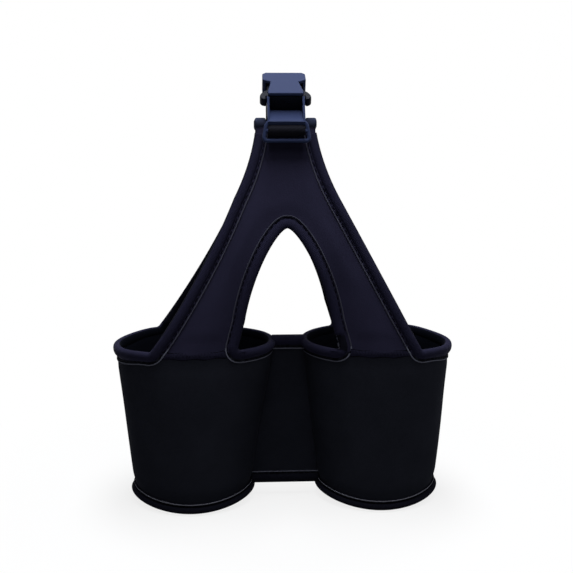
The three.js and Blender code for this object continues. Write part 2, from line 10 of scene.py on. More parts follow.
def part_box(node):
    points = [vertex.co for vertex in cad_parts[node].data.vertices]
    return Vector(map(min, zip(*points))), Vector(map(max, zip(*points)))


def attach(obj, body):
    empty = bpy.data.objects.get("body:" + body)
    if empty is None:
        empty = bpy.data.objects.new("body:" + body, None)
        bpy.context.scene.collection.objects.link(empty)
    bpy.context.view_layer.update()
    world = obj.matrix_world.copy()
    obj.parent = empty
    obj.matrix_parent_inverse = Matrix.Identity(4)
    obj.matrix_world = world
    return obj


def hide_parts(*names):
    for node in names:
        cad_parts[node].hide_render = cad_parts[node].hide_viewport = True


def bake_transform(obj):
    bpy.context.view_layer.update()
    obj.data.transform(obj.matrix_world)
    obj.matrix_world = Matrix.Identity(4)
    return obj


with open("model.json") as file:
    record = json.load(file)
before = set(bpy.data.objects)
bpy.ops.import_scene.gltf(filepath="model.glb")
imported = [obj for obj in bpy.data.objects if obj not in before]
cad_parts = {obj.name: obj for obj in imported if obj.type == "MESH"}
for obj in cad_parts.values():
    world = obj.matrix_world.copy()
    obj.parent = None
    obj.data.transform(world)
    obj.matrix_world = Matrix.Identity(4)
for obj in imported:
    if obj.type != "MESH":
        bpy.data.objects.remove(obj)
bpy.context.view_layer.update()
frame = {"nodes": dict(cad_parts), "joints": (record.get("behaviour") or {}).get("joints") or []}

scene = bpy.context.scene
mm = 0.001  # pieces are shaped in millimetres and scaled when they are finished
weld = 0.002  # corners nearer than this are merged
fullTurn = 2 * math.pi
hands = {-1: "left", 1: "right"}
joints = {joint["name"]: joint for joint in frame["joints"]}


def nodeBox(node):
    low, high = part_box(node)
    return low / mm, high / mm


def smoothStep(share):
    share = min(max(share, 0), 1)
    return share * share * (3 - 2 * share)


def dent(distance, width):
    return math.exp(-((distance / width) ** 2))


def finishPiece(name, bm, materials, body, nodes=(), bend=None):
    bmesh.ops.scale(bm, vec=(mm, mm, mm), verts=bm.verts)
    mesh = bpy.data.meshes.new(name)
    bm.to_mesh(mesh)
    bm.free()
    mesh.shade_smooth()
    for material in materials:
        mesh.materials.append(material)
    piece = bpy.data.objects.new(name, mesh)
    scene.collection.objects.link(piece)
    if bend:
        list(body)
        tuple(bend[0])
        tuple(bend[1])
        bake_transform(piece)
    else:
        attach(piece, body)
    if nodes:
        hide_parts(*nodes)
    return piece


def gridPiece(along, across, place, size, marked=None):
    # a flat grid moved on to the surface that place() gives, with millimetres of cloth as its UV map;
    # marked gives the rows of faces that take another of the piece's materials
    bm = bmesh.new()
    bmesh.ops.create_grid(bm, x_segments=along, y_segments=across, size=0.5)
    uv = bm.loops.layers.uv.new("cloth")
    for face in bm.faces:
        row = int((face.calc_center_median().y + 0.5) * across)
        face.material_index = marked.get(row, 0) if marked else 0
        for loop in face.loops:
            loop[uv].uv = ((loop.vert.co.x + 0.5) * size[0], (loop.vert.co.y + 0.5) * size[1])
    for vert in bm.verts:
        vert.co = place(vert.co.x + 0.5, vert.co.y + 0.5)
    return bm


def tubePiece(stations, sections, closed=False, marked=None):
    # a closed section carried along the stations; each station turns (depth, offset) into a point
    count = len(stations) if closed else len(stations) - 1
    sides = len(sections[0])
    length = sum((b(0, 0) - a(0, 0)).length for a, b in zip(stations, stations[1:]))
    girth = sum((Vector(sections[0][i]) - Vector(sections[0][i - 1])).length for i in range(sides))

    def place(u, v):
        i = round(u * count) % len(stations)
        depth, offset = sections[i % len(sections)][round(v * sides) % sides]
        return stations[i](depth, offset)

    bm = gridPiece(count, sides, place, (length, girth), marked)
    bmesh.ops.remove_doubles(bm, verts=bm.verts, dist=weld)
    if not closed:
        ends = [edge for edge in bm.edges if edge.is_boundary]
        bmesh.ops.holes_fill(bm, edges=ends, sides=0)
    bmesh.ops.recalc_face_normals(bm, faces=bm.faces)
    return bm


def roundSection(radius, sides):
    turns = [fullTurn * k / sides for k in range(sides)]
    return [(radius * math.cos(a), radius * math.sin(a)) for a in turns]


def joinInto(bm, part):
    mesh = bpy.data.meshes.new("part")
    part.to_mesh(mesh)
    part.free()
    bm.from_mesh(mesh)
    bpy.data.meshes.remove(mesh)


def crossBar(bm, radius, length, middle, sides):
    # a round bar from left to right
    bar = bmesh.new()
    bmesh.ops.create_cone(bar, cap_ends=True, segments=sides, radius1=radius, radius2=radius, depth=length)
    bmesh.ops.rotate(bar, cent=(0, 0, 0), matrix=Matrix.Rotation(math.pi / 2, 3, "Y"), verts=bar.verts)
    bmesh.ops.translate(bar, vec=middle, verts=bar.verts)
    joinInto(bm, bar)


def lengthAlong(points):
    return sum((b - a).length for a, b in zip(points, points[1:]))


def atShare(points, share):
    target = share * lengthAlong(points)
    for a, b in zip(points, points[1:]):
        step = (b - a).length
        if target <= step:
            return a.lerp(b, target / step)
        target -= step
    return points[-1]


def evenly(points, step):
    # a polyline cut again into even steps
    lengths = [0]
    for a, b in zip(points, points[1:]):
        lengths.append(lengths[-1] + (b - a).length)
    count = max(2, round(lengths[-1] / step))
    result = []
    k = 0
    for i in range(count + 1):
        target = lengths[-1] * i / count
        while k < len(points) - 2 and lengths[k + 1] < target:
            k += 1
        share = (target - lengths[k]) / (lengths[k + 1] - lengths[k])
        result.append(points[k].lerp(points[k + 1], min(max(share, 0), 1)))
    return result


def curvePoints(*controls, count=24):
    # a Bezier curve of any order through repeated interpolation
    result = []
    for i in range(count + 1):
        points = [Vector(c) for c in controls]
        while len(points) > 1:
            points = [a.lerp(b, i / count) for a, b in zip(points, points[1:])]
        result.append(points[0])
    return result


# materials

weave = {
    "roughness": 0.8,
    "gloss": 0.015,
    "glossTint": (0.75, 0.8, 1, 1),
    "sheenRoughness": 0.45,
    "sheenTint": (0.62, 0.66, 1, 1),
    "cloudScale": 45,       # slow change of shade over the cloth
    "cloudDetail": 5,
    "cloudStops": (0.3, 0.72),
    "cloudShades": (0.9, 1.1),
    "bandLength": 0.314,    # a wave texture of scale 1 repeats after this length
    "unevenness": 0.6,
    "depth": 0.1,           # share of the weave's pitch
}
moulding = {
    "glossTint": (0.5, 0.62, 1, 1),
    "grainScale": 2600,     # fine spark-eroded texture of the mould
    "grainDetail": 2,
    "grainStrength": 0.12,
    "grainDepth": 0.03,
    "wearScale": 160,       # slow change between satin and dull
    "wearDetail": 4,
    "roughness": (0.34, 0.5),
}


def setInputs(tree, node, values):
    # a value is a number, a colour or the output of another node
    for socket, value in values.items():
        if isinstance(value, bpy.types.NodeSocket):
            tree.links.new(value, node.inputs[socket])
        else:
            node.inputs[socket].default_value = value


def newNode(tree, kind, values=None, **settings):
    node = tree.nodes.new(kind)
    for name, value in settings.items():
        setattr(node, name, value)
    setInputs(tree, node, values or {})
    return node


def noiseOn(tree, coords, scale, detail):
    values = {"Vector": coords.outputs["Object"], "Scale": scale, "Detail": detail}
    return newNode(tree, "ShaderNodeTexNoise", values).outputs["Fac"]


def newMaterial(name, recordSlot):
    material = bpy.data.materials.new(name)
    material["recordSlot"] = recordSlot
    material.use_nodes = True
    return material


def fabric(name, recordSlot, color, sheen, pitch, bump, pattern, gloss=weave["gloss"]):
    material = newMaterial(name, recordSlot)
    tree = material.node_tree
    coords = newNode(tree, "ShaderNodeTexCoord")
    cloud = noiseOn(tree, coords, weave["cloudScale"], weave["cloudDetail"])
    shade = newNode(tree, "ShaderNodeValToRGB", {"Fac": cloud})
    for stop, position, level in zip(shade.color_ramp.elements, weave["cloudStops"], weave["cloudShades"]):
        stop.position = position
        stop.color = (*[c * level for c in color], 1)
    if pattern == "knit":  # fine jersey face
        height = newNode(tree, "ShaderNodeTexVoronoi", {
            "Vector": coords.outputs["Object"],
            "Scale": 1 / (pitch * mm),
        }).outputs["Distance"]
    else:  # ribs across a tape or strap, on its UV map in millimetres
        height = newNode(tree, "ShaderNodeTexWave", {
            "Vector": coords.outputs["UV"],
            "Scale": weave["bandLength"] / pitch,
            "Distortion": weave["unevenness"],
            "Detail": 1,
        }, bands_direction="X" if pattern == "ribs" else "DIAGONAL").outputs["Fac"]
    relief = newNode(tree, "ShaderNodeBump", {
        "Height": height,
        "Strength": bump,
        "Distance": weave["depth"] * pitch * mm,
    })
    setInputs(tree, tree.nodes["Principled BSDF"], {
        "Base Color": shade.outputs["Color"],
        "Normal": relief.outputs["Normal"],
        "Roughness": weave["roughness"],
        "Specular IOR Level": gloss,
        "Specular Tint": weave["glossTint"],
        "Sheen Weight": sheen,
        "Sheen Roughness": weave["sheenRoughness"],
        "Sheen Tint": weave["sheenTint"],
    })
    return material


def mouldedPlastic(name, recordSlot, color, gloss):
    material = newMaterial(name, recordSlot)
    tree = material.node_tree
    coords = newNode(tree, "ShaderNodeTexCoord")
    satin = newNode(tree, "ShaderNodeMapRange", {
        "Value": noiseOn(tree, coords, moulding["wearScale"], moulding["wearDetail"]),
        "To Min": moulding["roughness"][0],
        "To Max": moulding["roughness"][1],
    })
    relief = newNode(tree, "ShaderNodeBump", {
        "Height": noiseOn(tree, coords, moulding["grainScale"], moulding["grainDetail"]),
        "Strength": moulding["grainStrength"],
        "Distance": moulding["grainDepth"] * mm,
    })
    setInputs(tree, tree.nodes["Principled BSDF"], {
        "Base Color": (*color, 1),
        "Normal": relief.outputs["Normal"],
        "Roughness": satin.outputs["Result"],
        "Specular IOR Level": gloss,
        "Specular Tint": moulding["glossTint"],
    })
    return material


# colour, sheen, pitch of the weave in millimetres, its relief and pattern, and gloss where it differs
dullest = 0.006
sleeveCloth = fabric("sleeve_neoprene", "sleeve_neoprene", (0.0192, 0.0209, 0.0298),
                     0, 0.7, 0.5, "knit", dullest)
# a darker copy of the sleeve's neoprene: painted shade on the web between the cups
webShadeCloth = fabric("web_neoprene_shaded", "sleeve_neoprene", (0.015, 0.0163, 0.0235), 0, 0.7, 0.5, "knit", dullest)
# much darker than the sleeve's cloth: painted shade inside the cups and on the tapes' hidden side
insideShadeCloth = fabric("sleeve_inside_shade", "sleeve_neoprene", (0.003, 0.0036, 0.0066), 0, 0.7, 0.4, "knit")
panelCloth = fabric("panel_neoprene", "panel_neoprene", (0.0215, 0.0205, 0.042), 0.01, 0.7, 0.5, "knit")
seamCloth = fabric("seam_thread", "panel_neoprene", (0.0145, 0.014, 0.029), 0.01, 0.5, 0.5, "ribs")
tapeCloth = fabric("binding_tape", "binding_tape", (0.0155, 0.015, 0.0325), 0.012, 0.8, 0.9, "ribs")
hemCloth = fabric("hem_tape", "binding_tape", (0.007, 0.0072, 0.0122), 0.012, 0.8, 0.5, "ribs")
# the tapes' pale lips: painted highlight along their edges, brightest on the hems and dimmest on the legs
edgeHighlightCloth = fabric("tape_edge_highlight", "binding_tape", (0.13, 0.136, 0.18), 0.03, 0.5, 0.4, "ribs")
hemEdgeHighlightCloth = fabric("hem_tape_edge", "binding_tape", (0.2, 0.205, 0.25), 0.03, 0.5, 0.4, "ribs")
legEdgeHighlightCloth = fabric("leg_tape_edge", "binding_tape", (0.055, 0.056, 0.08), 0.03, 0.5, 0.4, "ribs")
# a lighter, bluer copy of the panel's neoprene: painted light from above on the rolls
rollLitCloth = fabric("roll_cloth_lit", "panel_neoprene", (0.032, 0.038, 0.07), 0.015, 0.7, 0.5, "knit")
webbingCloth = fabric("webbing", "webbing", (0.01, 0.01, 0.014), 0.01, 1.2, 0.8, "twill")
# dark thread, also used as painted shade in the tapes' creases and at the seams' borders
threadAndShadeCloth = fabric("thread", "binding_tape", (0.004, 0.004, 0.0075), 0.006, 0.4, 0.4, "ribs")
bucklePlastic = mouldedPlastic("buckle_plastic", "buckle_plastic", (0.031, 0.042, 0.097), 0.02)
# a near-black copy of the buckle plastic: painted shade on the collar and the spring arms
shadePlastic = mouldedPlastic("buckle_plastic_shade", "buckle_plastic", (0.0035, 0.004, 0.007), 0.04)
print("materials made")


# the cloth surfaces, in the frame's own place

sleeveLow, sleeveHigh = nodeBox("right_cup_sleeve")
cup = {
    "axis": (sleeveLow.x + sleeveHigh.x) / 2,
    "rimRadius": (sleeveHigh.x - sleeveLow.x) / 2,
    "height": sleeveHigh.z,
    "footRadius": 32.8,
    "wall": 3,
    "sewnWall": 2.1,        # where the tapes press the cloth together
    "sewnBand": (6, 13),    # from there it swells to its full wall
    "hemLift": 4,           # how far the hem rises at the sides
    "rimDip": 1.2,          # and the rim sinks there
    "tapeJoin": 0.56,       # where the legs' tapes join the rim, as a share of its reach
    "stretch": 3.4,         # the left rim is drawn out towards the right one
    "shrink": 1.6,          # and the right one is drawn in at its outer side
    "outOfRound": 70,       # how far down the rims are out of round
    "offFloor": 0.4,
    "hemHeight": 5.4,
    "footLift": 1.9,        # the cloth ends inside the hem
    "footSewn": 2,
    "lipRise": 0.4,
    "pinch": (0.5, 3),      # drawn in just over the hem: depth and height
    "soft": 0.35,           # slow waves of the cloth: depth, number and height
    "waves": 3,
    "waveHeight": 26,
    "waveApart": 7,         # so that the two cups differ
    "around": 144,
    "rows": 40,
    "innerRows": 12,
}
panel = {
    "seamLift": 0.3,          # the legs start just over the rims
    "outerReach": 17.8,
    "innerReach": 23.4,
    "shoulder": (27.2, 82),
    "headHalfWidth": 14.9,
    "headCurve": (17, 20),
    "archApex": 67.7,
    "archApexWidth": 5.5,
    "archWaist": (19.4, 46),
    "archSpring": (24.4, 17.6),
    "crown": 0.4,
    "crownBand": (5, 17),     # from the edges to where the crown is full
    "soft": 0.4,              # slow waves of the cloth: depth and length
    "waveLength": 22,
    "bow": 3.6,               # how far a leg curves outwards between the rim and the head
    "flare": (2, 5.5),        # the front left leg: further out at the foot, drawn in half way up
    "tuck": 2.8,              # and the rear left one hangs a little behind it
    "archTuck": {-1: 1.2, 1: 3.4},  # the rear arch is wider at its left and its right foot
    "archTuckShare": (0.35, 0.75),  # and less so at the waist and the spring
    "hollow": (0.7, 14),      # soft dent between the arch and the head: depth and half width
    "hollowLift": (33, 17),   # its place above the arch and half height
    "bendShare": 0.5,
    "bendEase": 5.6,
    "bendHeight": 30,         # the rear panel would bend over this much height; the bend is not applied
    "rollRadius": 2.7,
    "rollHalfLength": 16.9,
    "coreRadius": 1.5,
    "windowDrop": 5,
    "headOver": 0.5,
    "headShare": 0.2,         # share of each half that runs along the head
    "edgeStep": 0.5,
    "outerCorner": 2.2,
    "innerCorner": 4.5,
    "along": 220,
    "across": 30,
}
seamZ = cup["height"] + panel["seamLift"]
hinge = Vector(joints["rear_handle_swing"]["pos_m"])
front = {
    "name": "front",
    "facing": -1,
    "rollReach": 8.5,
    "body": "carrier",
    "sewnTo": "carrier",    # what the cloth's foot and its head ride on; a piece with a bend is left unattached
    "bend": None,
}
rear = {
    "name": "rear",
    "facing": 1,
    "rollReach": 7,
    "body": "rear_handle",
    "sewnTo": ("carrier", "rear_handle"),
    "bend": (hinge, hinge + Vector((0, 0, panel["bendHeight"] * mm))),
}
for half in (front, rear):
    half["rollZ"] = nodeBox(half["name"] + "_handle_panel")[1].z - panel["rollRadius"]


def midRadius(z):
    return cup["footRadius"] + (cup["rimRadius"] - cup["footRadius"]) * z / cup["height"] - cup["wall"] / 2


rimMid = midRadius(cup["height"])
widest = 0.98 * rimMid  # a leg reaches no further round its cup


def easedReach(distance):
    limit, ease = panel["innerReach"] + panel["bendEase"], panel["bendEase"]
    over = min(max(abs(distance) - limit + ease, 0), 2 * ease)
    return math.copysign(min(abs(distance), limit + ease) - over ** 2 / (4 * ease), distance)


def clothPoint(half, x, z, offset):
    # a point of a handle panel, or of the cup under it: round at the seam and flat further up
    distance = abs(x) - cup["axis"]
    across = distance if z < seamZ else easedReach(distance)
    across = min(max(across, -widest), widest)
    rise = max(0, (z - seamZ) / (half["rollZ"] - seamZ))
    fade = max(0, 1 - rise / panel["bendShare"]) ** 2
    radius = midRadius(z) if z < seamZ else rimMid
    turn = math.asin(across / rimMid) * fade
    sag = (rimMid - math.sqrt(rimMid ** 2 - across ** 2)) * fade
    lean = radius + (half["rollReach"] - radius) * rise + panel["bow"] * math.sin(math.pi * rise)
    return Vector((x, half["facing"] * (lean - sag + offset / math.cos(turn)), z))


def outerShare(outward):
    # 1 at the outermost point of a rim, 0 from where the legs' tapes join it
    return smoothStep((outward - cup["tapeJoin"]) / (1 - cup["tapeJoin"]))


def cupRadius(side, outward, z):
    # outward is 1 on the outer side of a cup and -1 towards the other cup
    fade = smoothStep(1 - (cup["height"] - z) / cup["outOfRound"])
    drawn = cup["stretch"] * outerShare(-outward) if side < 0 else -cup["shrink"] * outerShare(outward)
    return midRadius(z) + drawn * fade


def cupPoint(side, angle, radius, z):
    return Vector((side * cup["axis"] + radius * math.sin(angle), -radius * math.cos(angle), z))


def rimPoint(half, side, angle, z, offset):
    radius = cupRadius(side, math.sin(angle), z) + offset
    out, ahead = radius * math.sin(angle), radius * math.cos(angle)
    return Vector((side * (cup["axis"] + out), half["facing"] * ahead, z))


def rimHeight(outward):
    return cup["height"] - cup["rimDip"] * outerShare(outward)


def hemBottom(angle):
    return cup["offFloor"] + cup["hemLift"] * math.sin(angle) ** 2


def rimAngle(x):
    return math.asin((x - cup["axis"]) / rimMid)


def legEdge(half, side):
    # outer edge of a leg from the head down to its foot, in x and height; the left ones flare
    tuck = panel["tuck"] if half is rear and side < 0 else 0
    shoulder = (panel["shoulder"][0] - tuck, cup["height"] + panel["shoulder"][1])
    bend = (panel["headCurve"][0] - tuck / 2, half["rollZ"] - panel["headCurve"][1])
    head = (panel["headHalfWidth"], half["rollZ"])
    foot = (cup["axis"] + panel["outerReach"], seamZ)
    if side > 0:
        return curvePoints(head, bend, shoulder) + [Vector(foot)]
    out, drawn = panel["flare"]
    flared = (foot[0] + out, foot[1])
    waist = ((shoulder[0] + flared[0]) / 2 - drawn, (shoulder[1] + flared[1]) / 2)
    return curvePoints(head, bend, shoulder) + curvePoints(shoulder, waist, flared)[1:]


def archEdge(half, side):
    # one half of the arch from its apex down to the foot
    rim = cup["height"]
    tuck = panel["archTuck"][side] if half is rear else 0
    atWaist, atSpring = panel["archTuckShare"]
    apex = (0, rim + panel["archApex"])
    nearApex = (panel["archApexWidth"], rim + panel["archApex"])
    waist = (panel["archWaist"][0] + atWaist * tuck, rim + panel["archWaist"][1])
    spring = (panel["archSpring"][0] + atSpring * tuck, rim + panel["archSpring"][1])
    foot = (cup["axis"] - panel["innerReach"] + tuck, seamZ)
    return curvePoints(apex, nearApex, waist, spring, count=40) + [Vector(foot)]


def headDown(half, side, over):
    # the leg's edge from just over the foot of the webbing's window
    top = half["rollZ"] - panel["windowDrop"] + over
    return [point for point in legEdge(half, side) if point.y < top]


def sewnWall(distance):
    # half the cloth's thickness at a distance from a taped edge
    start, end = cup["sewnBand"]
    swell = smoothStep((distance - start) / (end - start))
    return (cup["sewnWall"] + (cup["wall"] - cup["sewnWall"]) * swell) / 2


# cup sleeves and bases

base = {"sink": 0.65, "flat": 24, "sides": 96, "rings": 7}


def sleevePiece(hand, side):
    rows, innerRows = cup["rows"], cup["innerRows"]
    outer = [(1, i / rows) for i in range(rows + 1)]
    lip = [(math.cos(a), 1 + cup["lipRise"] / cup["height"]) for a in (math.pi / 3, 2 * math.pi / 3)]
    inner = [(-1, 1 - i / innerRows) for i in range(innerRows + 1)]
    section = outer + lip + inner
    sides = len(section)
    pinchDepth, pinchHeight = cup["pinch"]

    def place(u, v):
        angle = fullTurn * (round(u * cup["around"]) % cup["around"]) / cup["around"]
        face, share = section[round(v * sides) % sides]
        outward = side * math.sin(angle)
        low, high = hemBottom(angle) + cup["footLift"], rimHeight(outward)
        z = low + (high - low) * share
        ripple = Vector((math.sin(angle), math.cos(angle), 0)) * cup["waves"]
        ripple.z = z / cup["waveHeight"] + cup["waveApart"] * side
        soft = noise.noise(ripple) * cup["soft"]
        pinch = pinchDepth * dent(z - hemBottom(angle) - cup["hemHeight"], pinchHeight)
        wall = min(sewnWall(high - z), sewnWall(z - low + cup["footSewn"]))
        radius = cupRadius(side, outward, z) + face * wall + soft * math.sin(math.pi * share) - pinch
        return cupPoint(side, angle, radius, z)

    marked = {row: 1 for row in range(rows + 2, sides)}  # the inside of the cup, in a much darker cloth: painted shade
    bm = gridPiece(cup["around"], sides, place, (fullTurn * rimMid, 2 * cup["height"]), marked)
    bmesh.ops.remove_doubles(bm, verts=bm.verts, dist=weld)
    bmesh.ops.recalc_face_normals(bm, faces=bm.faces)
    return finishPiece(hand + "_sleeve", bm, [sleeveCloth, insideShadeCloth], "carrier", [hand + "_cup_sleeve"])


def basePiece(hand, side):
    edge = cup["footRadius"] - base["sink"] * cup["wall"]  # sewn into the sleeve's foot
    bm = bmesh.new()
    bmesh.ops.create_circle(bm, cap_ends=True, segments=base["sides"], radius=edge)
    for step in range(base["rings"] - 1):
        inside = [face for face in bm.faces if len(face.verts) > 4]
        bmesh.ops.inset_region(bm, faces=inside, thickness=edge / base["rings"], use_even_offset=True)
    for vert in bm.verts:
        reach = math.hypot(vert.co.x, vert.co.y)
        lift = cup["hemLift"] * (vert.co.x / max(reach, 1)) ** 2
        vert.co.z = lift * smoothStep((reach - base["flat"]) / (edge - base["flat"]))
    bmesh.ops.solidify(bm, geom=bm.faces, thickness=-cup["wall"])
    bmesh.ops.recalc_face_normals(bm, faces=bm.faces)
    bmesh.ops.translate(bm, vec=(side * cup["axis"], 0, 0), verts=bm.verts)
    for face in bm.faces:
        # the base's upper face, inside the cup, takes the darker cloth: painted shade
        face.material_index = 1 if face.normal.z > 0.5 else 0
    return finishPiece(hand + "_base", bm, [sleeveCloth, insideShadeCloth], "carrier", [hand + "_cup_base"])


for side, hand in hands.items():
    sleevePiece(hand, side)
    basePiece(hand, side)
print("sleeves and bases made")


# binding tape: a soft bead folded over the edge, a crease where it is sewn and a narrow lip

tape = {
    "width": 5.9,
    "fold": 1.3,            # beyond the cloth edge
    "peak": 2.9,            # how far the bead stands out from mid cloth
    "back": 1.5,            # and on the inside
    "roundness": 0.85,
    "crease": 4,
    "creaseHeight": 1.05,
    "lipWidth": 0.75,
    "lipHeight": 1.75,
    "lipFoot": (0.03, 0.5),
    "soften": 0.1,
    "beadPoints": 14,
    "creaseRows": 3,        # rows of faces of each part of the section
    "edgeRows": 2,
    "lipRows": 7,
    "foldRows": 3,
    "step": 0.7,
    "leanLength": 26,       # over which the section turns square to the rim
    "outerSpread": 0.3,     # wider round the outer side of each rim
    "headOver": 1.2,
    "legStart": 4,          # above the rim, where the legs' dimmer painted highlight and darker painted shade start
}
stitch = {"steps": 5, "radius": 0.28, "aside": 0.5, "pull": 0.4, "hole": 0.8, "dive": 0.6, "sides": 6}
tapeFaces = {"cloth": 0, "thread": 1, "edge": 2, "inside": 3, "legEdge": 4, "darkened": 5, "fold": 6}
legFaces = {"edge": "legEdge", "inside": "darkened", "fold": "darkened"}  # on the legs the lip's painted highlight is dimmer, and the back and the fold take darker cloth: painted shade


def tapeSection(pulled, shape):
    # the bead, the crease that the stitches pull down and the lip, on the face and on the back
    width, peak, back, soften = shape["width"], shape["peak"], shape["back"], tape["soften"]
    crease = width - (tape["width"] - tape["crease"])
    low = tape["creaseHeight"] - stitch["pull"] * pulled
    middle, reach = (crease - tape["fold"]) / 2, (crease + tape["fold"]) / 2
    last = math.pi - math.asin((tape["creaseHeight"] / peak) ** (1 / tape["roundness"]))
    turns = [last * k / tape["beadPoints"] for k in range(tape["beadPoints"] + 1)]
    bead = [(middle - reach * math.cos(a), math.sin(a) ** tape["roundness"]) for a in turns]
    lip = [
        (crease + soften, low - soften),
        (width - tape["lipWidth"], low - soften),
        (width - tape["lipWidth"] + soften, tape["lipHeight"] - soften),
        (width - soften, tape["lipHeight"]),
        (width, tape["lipHeight"] - 1.5 * soften),
        (width + tape["lipFoot"][0], tape["lipFoot"][1]),
    ]
    face = [(depth, peak * high) for depth, high in bead] + lip
    flat = [(depth, -min(high, low) * back / peak) for depth, high in lip]
    hidden = [(depth, -back * high) for depth, high in bead[1:]] + flat
    return face + hidden[::-1]


def tapePiece(name, stations, node, half=front, closed=False, shape=tape,
              cloth=tapeCloth, edge=edgeHighlightCloth, darkerAt=None):
    pulls = [dent(min(k, stitch["steps"] - k), stitch["hole"]) for k in range(stitch["steps"])]
    sections = [tapeSection(pulled, shape) for pulled in pulls]
    sides, crease, foldRows = len(sections[0]), tape["beadPoints"], tape["foldRows"]
    edgeRow = crease + tape["creaseRows"]
    # the crease rows take the dark thread cloth: the stitching, and painted shade in the crease
    rows = {"thread": range(crease, edgeRow), "edge": range(edgeRow, edgeRow + tape["edgeRows"])}
    if shape is tape:  # the inside of a rim or leg, in darker cloth for painted shade, and the fold between it and the face
        rows["inside"] = range(crease + tape["lipRows"], sides - foldRows)
        rows["fold"] = range(-foldRows, foldRows)
    marked = {row % sides: tapeFaces[finish] for finish in rows for row in rows[finish]}
    bm = tubePiece(stations, sections, closed, marked)
    # on the legs the tape takes these darker copies; at the join of the arch tape its face is darker too;
    # elsewhere the fold keeps the tape's cloth
    onLeg = {tapeFaces[finish]: tapeFaces[other] for finish, other in legFaces.items()}
    for face in bm.faces:
        middle = face.calc_center_median()
        if darkerAt and face.material_index == tapeFaces["cloth"] and darkerAt(middle):
            face.material_index = tapeFaces["darkened"]
        elif middle.z > cup["height"] + tape["legStart"]:
            face.material_index = onLeg.get(face.material_index, face.material_index)
        elif face.material_index == tapeFaces["fold"]:
            face.material_index = tapeFaces["cloth"]
    materials = [cloth, threadAndShadeCloth, edge, insideShadeCloth, legEdgeHighlightCloth, hemCloth]
    return finishPiece(name, bm, materials, half["sewnTo"], [node], half["bend"])


def threadPiece(name, stations, half=front, closed=False, shape=tape, faces=(1, -1)):
    # one row of stitches in the crease on each face, diving into the tape at each hole
    start = shape["width"] - (tape["width"] - tape["crease"]) + stitch["aside"]
    ring = roundSection(stitch["radius"], stitch["sides"])
    bm = bmesh.new()
    for face in faces:
        sections = []
        for k in range(stitch["steps"]):
            dive = dent(min(k, stitch["steps"] - k), stitch["dive"])
            high = tape["creaseHeight"] - 2 * stitch["pull"] * dive
            if face < 0:
                high *= shape["back"] / shape["peak"]
            sections.append([(start + depth, face * (high + rise)) for depth, rise in ring])
        joinInto(bm, tubePiece(stations, sections, closed))
    return finishPiece(name, bm, [threadAndShadeCloth], half["sewnTo"], (), half["bend"])


def edgePoint(half, side, point, inward, lean, depth, offset):
    x, z = point.x + inward.x * depth, point.y + inward.y * depth
    slide = lean * offset * (x - cup["axis"]) / rimMid
    return clothPoint(half, side * (x + slide), z, offset)


def edgeStations(half, side, points, turn):
    # along an edge of a panel; the cloth lies to the left of the path where turn is 1, and the section
    # leans over until it is square to the rim at the path's end
    stations = []
    for i, point in enumerate(points):
        before, after = points[max(i - 1, 0)], points[min(i + 1, len(points) - 1)]
        along = (after - before).normalized()
        inward = Vector((-along.y, along.x)) * turn
        left = (len(points) - 1 - i) * tape["step"]
        lean = smoothStep(1 - left / tape["leanLength"])
        stations.append(partial(edgePoint, half, side, point, inward, lean))
    return stations


def rimTapePoint(half, side, angle, depth, offset):
    outward = math.sin(angle)
    wide = 1 + tape["outerSpread"] * outerShare(outward) if depth > 0 else 1
    return rimPoint(half, side, angle, rimHeight(outward) - depth * wide, offset)


def rimStations(half, side, start, end):
    count = max(2, round(abs(end - start) * rimMid / tape["step"]))
    angles = [start + (end - start) * i / count for i in range(1, count + 1)]
    return [partial(rimTapePoint, half, side, angle) for angle in angles]


def rounded(points, length, away):
    # the edge with its foot turned into a curve that runs out along the rim
    foot = Vector((points[-1].x, cup["height"]))
    along = (points[-1] - points[-2]).normalized()
    start = points[-1] - along * length
    curve = curvePoints(start, foot, foot + Vector((away * length, 0)))
    return evenly(points[:-1] + curve, tape["step"])


for side, hand in hands.items():
    for half, name, node in ((front, "_rim", "_outer_binding"), (rear, "_rear", "_rear_binding")):
        edge = rounded(headDown(half, side, tape["headOver"]), panel["outerCorner"], 1)
        stations = edgeStations(half, side, edge, -1)
        if half is front:  # and on round the outer side of the rim
            start = rimAngle(edge[-1].x)
            stations += rimStations(half, side, start, math.pi - start)
        tapePiece(hand + name + "_tape", stations, hand + node, half)
        threadPiece(hand + name + "_thread", stations, half)

# the arch tape's two ends meet at the foot of the front right leg, where it is thin and frayed
join = {
    "low": 1.6,             # above the rim
    "high": 9.6,
    "reach": 9,
    "slim": 0.72,
    "slimFold": 0.3,
    "strands": 13,
    "steps": 6,
    "root": (0.9, 0.8),     # where a strand starts, in from the border and up
    "curl": 1.9,            # how far it hangs out of the border
    "curlSway": 0.9,
    "curlTurn": 2.2,
    "length": 2.2,
    "proud": 1.4,
    "proudSway": 0.8,
    "radius": 0.2,
    "sides": 5,
    "seed": (3.7, 1.3, 0.4),
}


def atJoin(z):
    return cup["height"] + join["low"] < z < cup["height"] + join["high"]


def onJoin(point):
    return 0 < point.x < cup["axis"] - panel["innerReach"] + join["reach"] and point.y < 0 and atJoin(point.z)


def slimPoint(station, depth, offset):
    return station(depth if depth > 0 else join["slimFold"] * depth, offset * join["slim"])


def strandPoint(middle, depth, offset):
    return middle + Vector((depth, offset, 0))


